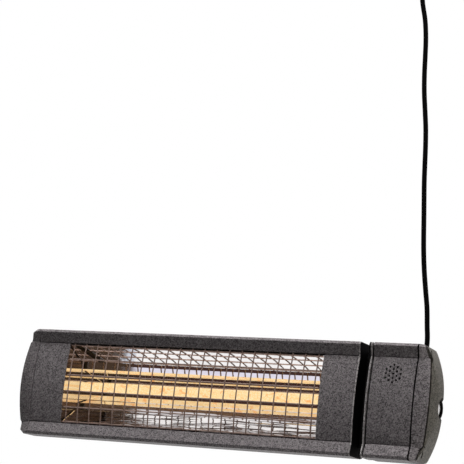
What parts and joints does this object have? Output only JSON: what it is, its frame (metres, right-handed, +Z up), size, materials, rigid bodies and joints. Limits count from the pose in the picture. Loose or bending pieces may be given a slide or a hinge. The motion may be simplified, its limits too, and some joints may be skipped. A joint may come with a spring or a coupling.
{
  "type": "electric bar heater",
  "caption": "Wall-mounted bar heater: long dark housing with a gold lamp in a mirrored trough behind a wire guard, a control box, a tilting bracket and a mains lead.",
  "frame": {"origin": "middle of the wall bracket's back face, on the wall", "axes": "+X along the heater to the right seen from the front, -Y out of the wall towards the room, +Z up"},
  "size_m": [0.6517, 0.1254, 0.7635],
  "materials": {
    "dark_powder_coat": "fine textured dark powder coat",
    "dark_plastic": "matt black plastic",
    "polished_reflector": "polished aluminium sheet",
    "plated_steel": "bright plated steel",
    "gold_quartz": "clear gold-coated quartz",
    "tungsten": "glowing coil",
    "ceramic": "unglazed ceramic",
    "circuit_board": "green board",
    "rubber": "matt black rubber"
  },
  "bodies": {
    "wall_mount": {"wall_bracket": "plated_steel", "mains_lead": "rubber", "outlet_base": "dark_plastic", "outlet_cover": "dark_plastic", "outlet_bush": "rubber"},
    "heater": {"main_housing": "dark_powder_coat", "front_panel_left": "dark_powder_coat", "front_panel_right": "dark_powder_coat", "left_end_frame": "dark_powder_coat", "left_side_cover": "dark_powder_coat", "main_end_plate": "dark_powder_coat", "reflector": "polished_reflector", "reflector_end_left": "polished_reflector", "reflector_end_right": "polished_reflector", "lamp_tube": "gold_quartz", "filament": "tungsten", "lamp_cap_left": "ceramic", "lamp_holder_left": "plated_steel", "lamp_cap_right": "ceramic", "lamp_holder_right": "plated_steel", "wire_guard": "plated_steel", "neck_block": "dark_plastic", "box_end_plate": "dark_powder_coat", "box_seal": "rubber", "box_housing": "dark_powder_coat", "box_front": "dark_powder_coat", "control_board": "circuit_board", "power_relay": "dark_plastic", "terminal_block": "ceramic", "capacitor": "dark_plastic", "alarm_sounder": "dark_plastic", "right_end_frame": "dark_powder_coat", "right_side_cover": "dark_powder_coat", "power_switch": "dark_plastic", "button_bezel": "dark_plastic", "gland_body": "dark_plastic", "gland_nut": "dark_plastic", "strain_relief": "rubber", "pivot_ear_left": "plated_steel", "pivot_ear_right": "plated_steel", "ear_screw_left_1": "plated_steel", "ear_screw_left_2": "plated_steel", "ear_screw_right_1": "plated_steel", "ear_screw_right_2": "plated_steel", "pivot_bolt_left": "plated_steel", "pivot_nut_left": "plated_steel", "pivot_bolt_right": "plated_steel", "pivot_nut_right": "plated_steel"},
    "button": {"power_button": "plated_steel"}
  },
  "joints": [
    {"name": "tilt", "type": "hinge", "parent": "wall_mount", "child": "heater", "pos_m": [0, -0.034, 0], "axis": [1, 0, 0], "range_deg": [-10, 45], "deforming": ["mains_lead"]},
    {"name": "power_button", "type": "slide", "parent": "heater", "child": "button", "axis": [-1, 0, 0], "range_m": [0, 0.0015], "stiffness_N_per_m": 900, "springref_m": -0.0015}
  ]
}
